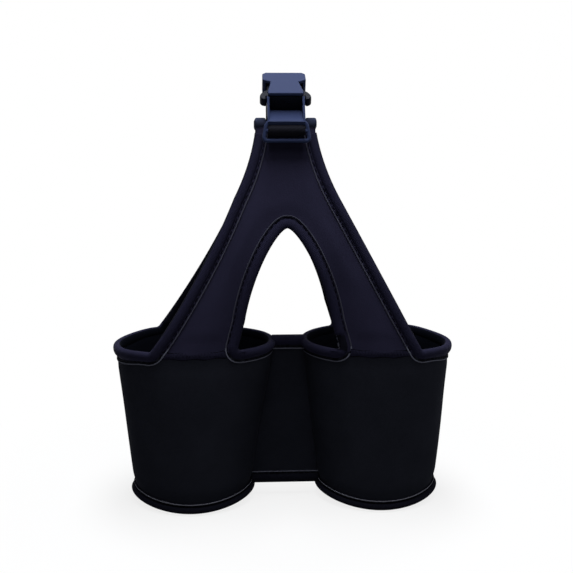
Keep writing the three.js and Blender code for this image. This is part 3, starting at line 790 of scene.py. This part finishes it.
def strandPiece(edge):
    # loose threads along the inner border of the join
    border = [point for point in edge if atJoin(point.y)]
    section = roundSection(join["radius"], join["sides"])
    bm = bmesh.new()
    for k in range(join["strands"]):
        root = border[round(k * (len(border) - 1) / (join["strands"] - 1))]
        sway = noise.noise_vector(Vector((k * join["seed"][0], *join["seed"][1:])))
        stations = []
        for i in range(join["steps"] + 1):
            share = i / join["steps"]
            curl = (join["curl"] + join["curlSway"] * sway.x) * math.sin(join["curlTurn"] * share)
            z = root.y + join["root"][1] - join["length"] * (1 + sway.z) * share
            proud = join["proud"] + join["proudSway"] * sway.y * share
            middle = clothPoint(front, root.x + join["root"][0] - curl, z, proud)
            stations.append(partial(strandPoint, middle))
        joinInto(bm, tubePiece(stations, [section]))
    # the loose strands take the pale cloth of the lips' painted highlight
    return finishPiece("tape_join_strands", bm, [edgeHighlightCloth], "carrier")


for half, node, darkerAt in ((front, "inner_binding", onJoin), (rear, "rear_arch_binding", None)):
    sides = []
    for side in hands:
        edge = rounded(archEdge(half, side), panel["innerCorner"], -1)
        stations = edgeStations(half, side, edge, 1)
        if half is front:
            if side > 0:
                stations = [partial(slimPoint, s) if atJoin(p.y) else s for s, p in zip(stations, edge)]
                strandPiece(edge)
            rearEdge = rounded(archEdge(rear, side), panel["innerCorner"], -1)
            start, end = rimAngle(edge[-1].x), -math.pi - rimAngle(rearEdge[-1].x)
            stations += rimStations(half, side, start, end)
        sides.append(stations)
    stations = sides[0][::-1] + sides[1][1:]
    tapePiece(half["name"] + "_arch_tape", stations, node, half, darkerAt=darkerAt)
    threadPiece(half["name"] + "_arch_thread", stations, half)
print("handle and rim tapes made")


# hems round the foot of each cup

hem = {"width": 4.4, "peak": 3.5, "back": 1.6, "around": 300}


def hemPoint(side, angle, depth, offset):
    z = hemBottom(angle) + tape["fold"] + depth
    return cupPoint(side, angle, midRadius(max(z, 0)) + offset, z)


for side, hand in hands.items():
    stations = [partial(hemPoint, side, fullTurn * i / hem["around"]) for i in range(hem["around"])]
    tapePiece(hand + "_hem", stations, hand + "_base_binding",
              closed=True, shape=hem, cloth=hemCloth, edge=hemEdgeHighlightCloth)
    threadPiece(hand + "_hem_thread", stations, closed=True, shape=hem, faces=(1,))
print("hems made")


# centre web

webLow, webHigh = nodeBox("center_web")
web = {
    "thickness": 6,
    "bottom": webLow.z,
    "top": webHigh.z,
    "sink": 1.2,            # into the sleeves
    "hollow": 0.5,
    "soft": 0.3,            # slow waves of the cloth: depth, number and height
    "waves": 2,
    "waveHeight": 18,
    "waveLayer": 3,
    "cuts": 24,
}
webTape = {"width": 5.9, "peak": 2.4, "back": 2.4}


def webReach(share, z):
    # from the middle to where the web sinks into the left or the right sleeve
    radius = cupRadius(-1 if share < 0 else 1, -1, min(z, cup["height"]))
    return cup["axis"] - radius - cup["wall"] / 2 + web["sink"]


def webPiece():
    bm = bmesh.new()
    bmesh.ops.create_cube(bm, size=1)
    bmesh.ops.subdivide_edges(bm, edges=bm.edges, cuts=web["cuts"], use_grid_fill=True)
    for vert in bm.verts:
        up = vert.co.z + 0.5
        z = web["bottom"] + (web["top"] - web["bottom"]) * up
        share = 2 * vert.co.x
        waist = web["hollow"] * math.cos(math.pi * vert.co.x) * math.sin(math.pi * up)
        ripple = (share * web["waves"], z / web["waveHeight"], web["waveLayer"])
        soft = noise.noise(Vector(ripple)) * web["soft"]
        proud = web["thickness"] / 2 - waist + soft
        vert.co = Vector((share * webReach(share, z), 2 * vert.co.y * proud, z))
    bmesh.ops.recalc_face_normals(bm, faces=bm.faces)
    # the web takes the darker neoprene: painted shade between the cups
    return finishPiece("web", bm, [webShadeCloth], "carrier", ["center_web"])


def webTapePoint(edgeZ, inward, share, depth, offset):
    z = edgeZ + inward * depth
    spread = webReach(share, z) - web["sink"] / 2
    proud = math.copysign(abs(offset) + web["thickness"] / 2 - cup["sewnWall"] / 2, offset)
    return Vector((share * spread, -proud, z))


webPiece()
for name, inward, cloth in (("top", -1, tapeCloth), ("bottom", 1, hemCloth)):
    count = round(2 * (webReach(1, web[name]) - web["sink"] / 2) / tape["step"])
    shares = [2 * i / count - 1 for i in range(count + 1)]
    stations = [partial(webTapePoint, web[name], inward, share) for share in shares]
    tapePiece("web_" + name + "_tape", stations, "web_" + name + "_binding", shape=webTape, cloth=cloth)
    threadPiece("web_" + name + "_thread", stations, shape=webTape)
print("web made")


# handle panels

def distanceTo(points):
    # a function that gives the distance from a flat point to the nearest of the points
    tree = kdtree.KDTree(len(points))
    for i, point in enumerate(points):
        tree.insert(point.to_3d(), i)
    tree.balance()

    def distance(point):
        return tree.find(point.to_3d())[2]

    return distance


def panelPiece(half):
    outerEdges, innerEdges, near = {}, {}, {}
    for side in hands:
        leg = headDown(half, side, panel["headOver"])
        outerEdges[side] = [Vector((0, leg[0].y))] + leg
        innerEdges[side] = archEdge(half, side)
        borders = evenly(leg, panel["edgeStep"]) + evenly(innerEdges[side], panel["edgeStep"])
        near[side] = distanceTo(borders)
    across, cornerAt = panel["across"], panel["headShare"]
    section = [(k / across, 1) for k in range(across + 1)]
    section += [(1 - k / across, -1) for k in range(across + 1)]
    crownStart, crownEnd = panel["crownBand"]
    hollowDepth, hollowWidth = panel["hollow"]

    def point(side, inner, outer, v, face):
        flat = inner.lerp(outer, v)
        fromEdge = near[side](flat)
        inside = smoothStep((fromEdge - crownStart) / (crownEnd - crownStart))
        ripple = (side * flat.x / panel["waveLength"], flat.y / panel["waveLength"], half["facing"])
        soft = panel["soft"] * noise.noise(Vector(ripple))
        above = flat.y - cup["height"] - panel["archApex"] - panel["hollowLift"][0]
        hollow = hollowDepth * dent(flat.x, hollowWidth) * dent(above, panel["hollowLift"][1])
        swell = inside * (panel["crown"] + soft - hollow)
        wall = min(sewnWall(fromEdge), sewnWall(flat.y - seamZ))
        return clothPoint(half, side * flat.x, flat.y, swell + face * wall)

    stations = []
    for i in range(panel["along"] + 1):
        run = 2 * i / panel["along"] - 1
        side, run = (-1 if run < 0 else 1), abs(run)
        inner = atShare(innerEdges[side], run)
        outerEdge = outerEdges[side]
        corner = outerEdge[1].x / lengthAlong(outerEdge)
        if run < cornerAt:
            outer = atShare(outerEdge, corner * run / cornerAt)
        else:
            outer = atShare(outerEdge, corner + (1 - corner) * (run - cornerAt) / (1 - cornerAt))
        stations.append(partial(point, side, inner, outer))
    bm = tubePiece(stations, [section])
    node = half["name"] + "_handle_panel"
    return finishPiece(half["name"] + "_panel", bm, [panelCloth], half["sewnTo"], [node], half["bend"])


panelPiece(front)
panelPiece(rear)


# flat overcast seam where each leg is sewn to its cup

seam = {
    "width": 4.8,
    "low": 0.6,
    "high": 1.6,
    "squareness": 5,
    "step": 0.42,
    "across": 18,
    "border": 3,            # rows of dark thread at both borders, which also paint shade along the seam's edges
    "ridge": 0.22,
    "ridgePitch": 1.7,
    "slant": 0.35,
    "wave": 0.3,
    "waveLength": 1.9,
    "clear": 3.8,           # its ends lie just under the tapes' lips, where it thins out
    "thinning": 3,
    "endHeight": 1.3,
}


def seamPiece(half, side):
    start = rimAngle(cup["axis"] - panel["innerReach"] + seam["clear"])
    end = rimAngle(cup["axis"] + panel["outerReach"] - seam["clear"])
    count = round((end - start) * rimMid / seam["step"])
    rise = [2 * k / seam["across"] - 1 for k in range(seam["across"] + 1)]
    proud = seam["high"] - seam["low"]
    section = [(s, seam["low"] + proud * (1 - abs(s) ** seam["squareness"])) for s in rise]
    section += [(s, 0) for s in rise[::-1]]

    def point(i, s, high):
        angle = start + (end - start) * i / count
        run = i * seam["step"]
        ridges = math.sin(fullTurn * (run / seam["ridgePitch"] + seam["slant"] * s))
        full = high + seam["ridge"] * ridges * (1 - s * s)
        thin = 1 - smoothStep(min(i, count - i) * seam["step"] / seam["thinning"])
        lift = full + (min(high, seam["endHeight"]) - full) * thin if high > 0 else 0
        wave = seam["wave"] * math.sin(run / seam["waveLength"] + 2 * s)
        z = seamZ + s * seam["width"] / 2 + wave
        if z < cup["height"]:
            return rimPoint(half, side, angle, z, lift)
        x = side * (cup["axis"] + rimMid * math.sin(angle))
        return clothPoint(half, x, z, lift)

    stations = [partial(point, i) for i in range(count + 1)]
    across, border = seam["across"], seam["border"]
    # the border rows take the dark thread cloth: thread and painted shade at the seam's edges
    marked = dict.fromkeys([*range(border), *range(across - border, across)], 1)
    bm = tubePiece(stations, [section], marked=marked)
    return finishPiece(f"{half['name']}_seam_{hands[side]}", bm, [seamCloth, threadAndShadeCloth], "carrier")


for half in (front, rear):
    for side in hands:
        seamPiece(half, side)


# rolled hem at the head: a soft tube either side of the webbing, and the core that the webbing goes round

roll = {
    "start": 10.6,
    "radius": 3.2,
    "sides": 28,
    "stations": 26,
    "squareness": 9,
    "endCurve": 0.35,
    "pucker": 0.07,
    "puckerTurn": 5.2,
    "mouth": 0.55,          # hollow in the outer end
    "depth": 1.4,
    "mouthRings": ((0.4, 0.85), (1, 0.7)),  # shares of its depth and width
    "coreShort": 6,
    "coreSides": 24,
}
tab = {
    "start": 10.8,
    "over": 1.1,
    "low": 2,
    "high": 1,
    "swell": 0.3,
    "soft": 0.9,
    "softSegments": 3,
    "cloth": (6, 7),
    "along": 10,
    "across": 12,
}


def rollPiece(half, side):
    # a rolled tube of cloth with a small hollow in its outer end
    start, end = roll["start"], panel["rollHalfLength"]
    centre = Vector((0, half["facing"] * half["rollReach"], half["rollZ"]))
    rings = []
    for i in range(roll["stations"] + 1):
        share = 2 * i / roll["stations"] - 1
        swell = (1 - abs(share) ** roll["squareness"]) ** roll["endCurve"]
        rings.append((start + (end - start) * i / roll["stations"], max(swell, roll["mouth"])))
    rings += [(end - roll["depth"] * deep, roll["mouth"] * narrow) for deep, narrow in roll["mouthRings"]]

    def point(x, swell, depth, offset):
        under = max(0, -math.sin(math.atan2(offset, depth)))
        ribs = 1 + roll["pucker"] * math.sin(roll["puckerTurn"] * x) * under
        return centre + Vector((side * x, depth * swell * ribs, offset * swell * ribs))

    bm = tubePiece([partial(point, *ring) for ring in rings], [roundSection(roll["radius"], roll["sides"])])
    return finishPiece(f"{half['name']}_roll_{hands[side]}", bm, [rollLitCloth], half["body"])


def tabPiece(half, side):
    # the cloth from the panel's head up to the roll, beside the webbing's window
    low, high = half["rollZ"] - panel["windowDrop"] - tab["low"], half["rollZ"] - tab["high"]
    width = panel["headHalfWidth"] + tab["over"] - tab["start"]

    def place(u, v):
        x = side * (tab["start"] + width * u)
        return clothPoint(half, x, low + (high - low) * v, tab["swell"] * math.sin(math.pi * u))

    bm = gridPiece(tab["along"], tab["across"], place, tab["cloth"])
    bmesh.ops.recalc_face_normals(bm, faces=bm.faces)
    piece = finishPiece(f"{half['name']}_tab_{hands[side]}", bm, [panelCloth], half["body"])
    thickness = piece.modifiers.new("wall", "SOLIDIFY")
    thickness.thickness = cup["wall"] * mm
    thickness.offset = 0
    soft = piece.modifiers.new("soft", "BEVEL")
    soft.width = tab["soft"] * mm
    soft.segments = tab["softSegments"]
    return piece


def corePiece(half):
    middle = (0, half["facing"] * half["rollReach"], half["rollZ"])
    bm = bmesh.new()
    length = 2 * panel["rollHalfLength"] - roll["coreShort"]
    crossBar(bm, panel["coreRadius"], length, middle, roll["coreSides"])
    return finishPiece(half["name"] + "_roll_core", bm, [panelCloth], half["body"])


for half in (front, rear):
    for side in hands:
        rollPiece(half, side)
        tabPiece(half, side)
    corePiece(half)
print("panels and rolls made")


# webbing loops between the rolls and the buckle

webbing = {
    "width": 20,
    "thickness": 1.2,
    "gap": 0.3,
    "crossBar": 1.2,
    "rearBar": 1.5,
    "arcSteps": 20,
    "runSteps": 12,
    "across": 20,
    "edgeThin": 0.55,       # the woven edges are thinner
    "squareness": 12,
}


def strapPoint(centre, away, depth, offset):
    return Vector((depth, centre.x + away.x * offset, centre.y + away.y * offset))


def webbingPiece(name, body, lowBar, highBar):
    node = name + "_loop"
    boxLow, boxHigh = nodeBox(node)
    skin = webbing["gap"] + webbing["thickness"]
    low = Vector((boxLow.y + lowBar + skin, boxLow.z + lowBar + skin))
    high = Vector((boxHigh.y - highBar - skin, boxHigh.z - highBar - skin))
    heading = math.atan2(high.y - low.y, high.x - low.x)
    path = []
    for centre, other, bar, quarter in ((low, high, lowBar, math.pi / 2), (high, low, highBar, -math.pi / 2)):
        for i in range(webbing["arcSteps"] + 1):
            angle = heading + quarter + math.pi * i / webbing["arcSteps"]
            away = Vector((math.cos(angle), math.sin(angle)))
            path.append((centre + away * (bar + webbing["gap"] + webbing["thickness"] / 2), away))
        last, away = path[-1]
        for i in range(1, webbing["runSteps"]):  # the straight run to the other bar
            path.append((last + (other - centre) * (i / webbing["runSteps"]), away))
    stations = [partial(strapPoint, centre, away) for centre, away in path]
    half, thick, count = webbing["width"] / 2, webbing["thickness"] / 2, webbing["across"]
    across = [-half + webbing["width"] * i / count for i in range(count + 1)]
    bulge = [thick * (1 - webbing["edgeThin"] * abs(x / half) ** webbing["squareness"]) for x in across]
    section = list(zip(across, bulge)) + [(x, -b) for x, b in zip(across, bulge)][::-1]
    bm = tubePiece(stations, [section], closed=True)
    return finishPiece(name, bm, [webbingCloth], body, [node])


webbingPiece("front_webbing", "carrier", webbing["crossBar"], panel["coreRadius"])
webbingPiece("rear_webbing", "rear_webbing", panel["coreRadius"], webbing["rearBar"])
print("webbing made")


# side-release buckle

buckle = {
    "middle": Vector(joints["right_prong_squeeze"]["pos_m"]) / mm,
    "slope": math.radians(26),
    "thickness": 9.8,
    "merge": 0.005,
    "flat": math.radians(2),
    "sharp": math.radians(28),
    "edge": 0.45,
    "femaleEdge": 0.5,
    "armEdge": 0.8,
    "segments": 3,
}
male = {
    "halfWidth": 10.2,
    "collar": ((-2.6, -0.3), (-2.2, 7.7)),    # along the buckle, and up from its underside
    "plate": ((-16, -2.3), (-2.2, -0.3)),
    "plateEdge": 0.6,
    "lip": ((-16.15, -15), (-3, -0.42)),      # under the plate's front edge
    "lipEdge": 0.25,
    "tongue": ((-2.6, 11), (3.6, 6.2)),
    "tongueHalfWidth": 2.6,
    "gussetWidth": 1.3,
    "gussetInset": 0.8,
    "gussetSink": 0.4,
    "gussetTop": 1.6,
    "gussetNose": 0.5,
    "gussetEdge": 0.35,
    "frameTop": (-14.75, -1.25),
    "frameTilt": math.radians(54),
    "frameHalfWidth": 12.1,                   # middle of the rod at the end bar
    "frameRoot": (8.6, 0.6),
    "frameNeck": ((11.1, -1.2), (11.2, -3.4)),
    "frameDrop": 10.2,
    "frameCorner": 1.7,
    "frameRod": 1.1,
    "frameStep": 0.8,
    "frameSides": 14,
    "bendPoints": 8,
    "crossBarDrop": 5,
    "crossBarRadius": 1.2,
    "crossBarShort": 0.6,
    "crossBarSides": 20,
}


def inBuckle(x, along, up):
    # a point of the buckle's own sloping frame, whose origin is the mouth's lower edge
    c, s = math.cos(buckle["slope"]), math.sin(buckle["slope"])
    lift = up - buckle["thickness"] / 2
    middle = buckle["middle"]
    return Vector((x, middle.y + along * c - lift * s, middle.z + along * s + lift * c))


def roundEdges(bm, edges, offset, clamp=True):
    bmesh.ops.bevel(bm, geom=edges, offset=offset, segments=buckle["segments"], profile=0.5,
                    affect="EDGES", clamp_overlap=clamp, material=-1)


def block(bm, halfWidth, along, up, edge, finish=0):
    part = bmesh.new()
    bmesh.ops.create_cube(part, size=1)
    for vert in part.verts:
        ahead = along[0] + (along[1] - along[0]) * (vert.co.y + 0.5)
        vert.co = inBuckle(2 * halfWidth * vert.co.x, ahead, up[0] + (up[1] - up[0]) * (vert.co.z + 0.5))
    roundEdges(part, part.edges, edge)
    for face in part.faces:
        face.material_index = finish
    joinInto(bm, part)


def gusset(bm, side):
    # side wall of the male half, from the collar's top down to the front of its plate
    width, inset = male["gussetWidth"], male["gussetInset"]
    top, low = male["collar"][1][1], male["plate"][1][1] - male["gussetSink"]
    nose, back = male["plate"][0][0] + inset, male["collar"][0][0] + inset
    shoulder, tip = back - male["gussetTop"], low + male["gussetNose"]
    outline = ((back, low), (back, top), (shoulder, top), (nose, tip), (nose, low))
    x = side * (male["halfWidth"] - width / 2) - width / 2
    part = bmesh.new()
    face = part.faces.new([part.verts.new(inBuckle(x, *corner)) for corner in outline])
    wall = bmesh.ops.extrude_face_region(part, geom=[face])["geom"]
    moved = [item for item in wall if isinstance(item, bmesh.types.BMVert)]
    bmesh.ops.translate(part, vec=(width, 0, 0), verts=moved)
    bmesh.ops.recalc_face_normals(part, faces=part.faces)
    roundEdges(part, part.edges, male["gussetEdge"])
    joinInto(bm, part)


def frameLoop(bm):
    # the ladder frame: one rod bent into a U that hangs from under the plate's front edge
    half, drop, bend = male["frameHalfWidth"], male["frameDrop"], male["frameCorner"]
    side = curvePoints(male["frameRoot"], *male["frameNeck"], count=male["bendPoints"])
    side += curvePoints((half, bend - drop), (half, -drop), (half - bend, -drop), count=male["bendPoints"])
    path = evenly([Vector((-p.x, p.y)) for p in side] + side[::-1], male["frameStep"])
    top, under = male["frameTop"]
    c, s = math.cos(male["frameTilt"]), math.sin(male["frameTilt"])

    def point(i, depth, offset):
        along = (path[min(i + 1, len(path) - 1)] - path[max(i - 1, 0)]).normalized()
        flat = path[i] + Vector((along.y, -along.x)) * depth
        return inBuckle(flat.x, top + flat.y * c + offset * s, under + flat.y * s - offset * c)

    stations = [partial(point, i) for i in range(len(path))]
    joinInto(bm, tubePiece(stations, [roundSection(male["frameRod"], male["frameSides"])]))
    middle = inBuckle(0, top - male["crossBarDrop"] * c, under - male["crossBarDrop"] * s)
    length = 2 * (half - male["crossBarShort"])
    crossBar(bm, male["crossBarRadius"], length, middle, male["crossBarSides"])


def malePiece():
    bm = bmesh.new()
    block(bm, male["halfWidth"], *male["collar"], buckle["edge"], 1)  # in the mouth's shade, darker
    block(bm, male["halfWidth"], *male["plate"], male["plateEdge"])
    block(bm, male["halfWidth"], *male["lip"], male["lipEdge"])
    block(bm, male["tongueHalfWidth"], *male["tongue"], buckle["edge"])
    gusset(bm, -1)
    gusset(bm, 1)
    frameLoop(bm)
    piece = finishPiece("male_half", bm, [bucklePlastic, shadePlastic], "carrier", ["male_buckle"])
    piece.modifiers.new("shading", "WEIGHTED_NORMAL")
    return piece


def mouldedPiece(name, node, edge, plastic):
    # the solid's own shape with moulded edges, on the body that has the node's name
    bm = bmesh.new()
    bm.from_mesh(frame["nodes"][node].data)
    bmesh.ops.scale(bm, vec=(1 / mm, 1 / mm, 1 / mm), verts=bm.verts)
    bmesh.ops.remove_doubles(bm, verts=bm.verts, dist=buckle["merge"])
    bmesh.ops.dissolve_limit(bm, angle_limit=buckle["flat"], verts=bm.verts, edges=bm.edges)
    corners = [e for e in bm.edges if e.is_manifold and e.calc_face_angle() > buckle["sharp"]]
    roundEdges(bm, corners, edge, clamp=False)
    bmesh.ops.recalc_face_normals(bm, faces=bm.faces)
    piece = finishPiece(name, bm, [plastic], node, [node])
    piece.modifiers.new("shading", "WEIGHTED_NORMAL")
    return piece


malePiece()
mouldedPiece("female_half", "female_buckle", buckle["femaleEdge"], bucklePlastic)
# the spring arms take the near-black plastic: painted shade
for hand in hands.values():
    mouldedPiece(hand + "_spring_arm", hand + "_prong", buckle["armEdge"], shadePlastic)
print("buckle made")


# camera

view = {
    "distance": 580,
    "height": 212.41,
    "aside": 1.0,
    "turn": math.radians(3.2),
    "pitch": math.radians(8.888),
    "focal": 1036.7,        # in pixels of the photograph's frame
    "frame": 573,
    "sensor": 36,
}
camera = bpy.data.cameras.new("camera")
camera.sensor_width = view["sensor"]
camera.lens = view["focal"] / view["frame"] * view["sensor"]
cameraObject = bpy.data.objects.new("camera", camera)
turn = Matrix.Rotation(-view["turn"], 3, "Z")
cameraObject.location = turn @ Vector((view["aside"], -view["distance"], view["height"])) * mm
cameraObject.rotation_euler = (math.pi / 2 - view["pitch"], 0, -view["turn"])
scene.collection.objects.link(cameraObject)
scene.camera = cameraObject


# lamps

def softbox(name, place, aim, size, power, color):
    lamp = bpy.data.lights.new(name, "AREA")
    lamp.shape = "RECTANGLE"
    lamp.size, lamp.size_y = size
    lamp.energy = power
    lamp.color = color
    lampObject = bpy.data.objects.new(name, lamp)
    lampObject.location = place
    lampObject.rotation_euler = (Vector(aim) - Vector(place)).to_track_quat("-Z", "Y").to_euler()
    scene.collection.objects.link(lampObject)


softbox("overhead", (0, 0, 0.85), (0, 0, 0.1), (0.25, 0.7), 8, (0.95, 0.97, 1))
softbox("frontHigh", (0.05, -0.7, 0.8), (0, 0, 0.12), (0.4, 0.4), 1, (1, 1, 1))
softbox("rightEdge", (1.1, 0.1, 0.5), (0, 0, 0.1), (0.4, 0.8), 1.4, (1, 1, 1))


# white studio round the carrier

studio = {
    "ambient": 0.08,            # what the white surroundings give as light
    "backdropFade": (-0.1, 0.5),
    "floorRadius": 0.6,
    "floorSides": 64,
    "floorPaint": 0.9,
    "floorRoughness": 0.9,
    "floorBounce": 0.2,         # what the floor gives back to the carrier
    "shadowFade": (0.08, 0.24),  # from the carrier out to plain white
    "shadowWhite": 0.82,        # share of white where the shadow lies
}


def grey(level):
    return (level, level, level, 1)


def either(tree, first, second):
    return newNode(tree, "ShaderNodeMath", {0: first, 1: second}, operation="MAXIMUM").outputs["Value"]


def mirrored(tree, rays):
    return either(tree, rays.outputs["Is Glossy Ray"], rays.outputs["Is Transmission Ray"])


def buildWorld():
    # the camera sees a white studio; reflections see it on the backdrop's side only
    world = bpy.data.worlds.new("studio")
    scene.world = world
    world.use_nodes = True
    tree = world.node_tree
    rays = newNode(tree, "ShaderNodeLightPath")
    direction = newNode(tree, "ShaderNodeTexCoord")
    toward = newNode(tree, "ShaderNodeSeparateXYZ", {"Vector": direction.outputs["Generated"]})
    backdrop = newNode(tree, "ShaderNodeMapRange", {
        "Value": toward.outputs["Y"],
        "From Min": studio["backdropFade"][0],
        "From Max": studio["backdropFade"][1],
    })
    reflected = newNode(tree, "ShaderNodeMath", {
        0: mirrored(tree, rays),
        1: backdrop.outputs["Result"],
    }, operation="MULTIPLY")
    level = newNode(tree, "ShaderNodeMapRange", {
        "Value": either(tree, rays.outputs["Is Camera Ray"], reflected.outputs["Value"]),
        "To Min": studio["ambient"],
        "To Max": 1,
    })
    setInputs(tree, tree.nodes["Background"], {"Color": grey(1), "Strength": level.outputs["Result"]})


def floorPaint():
    # seen and mirrored as white with a soft shadow; as a lit surface it is dull
    material = bpy.data.materials.new("floor_paint")
    material.use_nodes = True
    tree = material.node_tree
    matt = tree.nodes["Principled BSDF"]
    setInputs(tree, matt, {
        "Base Color": grey(studio["floorPaint"]),
        "Roughness": studio["floorRoughness"],
        "Specular IOR Level": 0,
    })
    dull = newNode(tree, "ShaderNodeBsdfDiffuse", {"Color": grey(studio["floorBounce"])})
    glow = newNode(tree, "ShaderNodeEmission", {"Strength": 1})
    where = newNode(tree, "ShaderNodeTexCoord")
    distance = newNode(tree, "ShaderNodeVectorMath", {0: where.outputs["Object"]}, operation="LENGTH")
    spread = newNode(tree, "ShaderNodeMapRange", {
        "Value": distance.outputs["Value"],
        "From Min": studio["shadowFade"][0],
        "From Max": studio["shadowFade"][1],
        "To Min": studio["shadowWhite"],
    }, interpolation_type="SMOOTHSTEP")
    whiteOut = newNode(tree, "ShaderNodeMixShader", {
        "Fac": spread.outputs["Result"],
        1: matt.outputs["BSDF"],
        2: glow.outputs["Emission"],
    })
    rays = newNode(tree, "ShaderNodeLightPath")
    mix = newNode(tree, "ShaderNodeMixShader", {
        "Fac": either(tree, rays.outputs["Is Camera Ray"], mirrored(tree, rays)),
        1: dull.outputs["BSDF"],
        2: whiteOut.outputs["Shader"],
    })
    setInputs(tree, tree.nodes["Material Output"], {"Surface": mix.outputs["Shader"]})
    return material


buildWorld()
bm = bmesh.new()
bmesh.ops.create_circle(bm, cap_ends=True, segments=studio["floorSides"], radius=studio["floorRadius"])
floorMesh = bpy.data.meshes.new("floor")
bm.to_mesh(floorMesh)
bm.free()
floorMesh.materials.append(floorPaint())
floor = bpy.data.objects.new("floor", floorMesh)
scene.collection.objects.link(floor)
scene.view_settings.view_transform = "Standard"
print("camera, light and floor made")
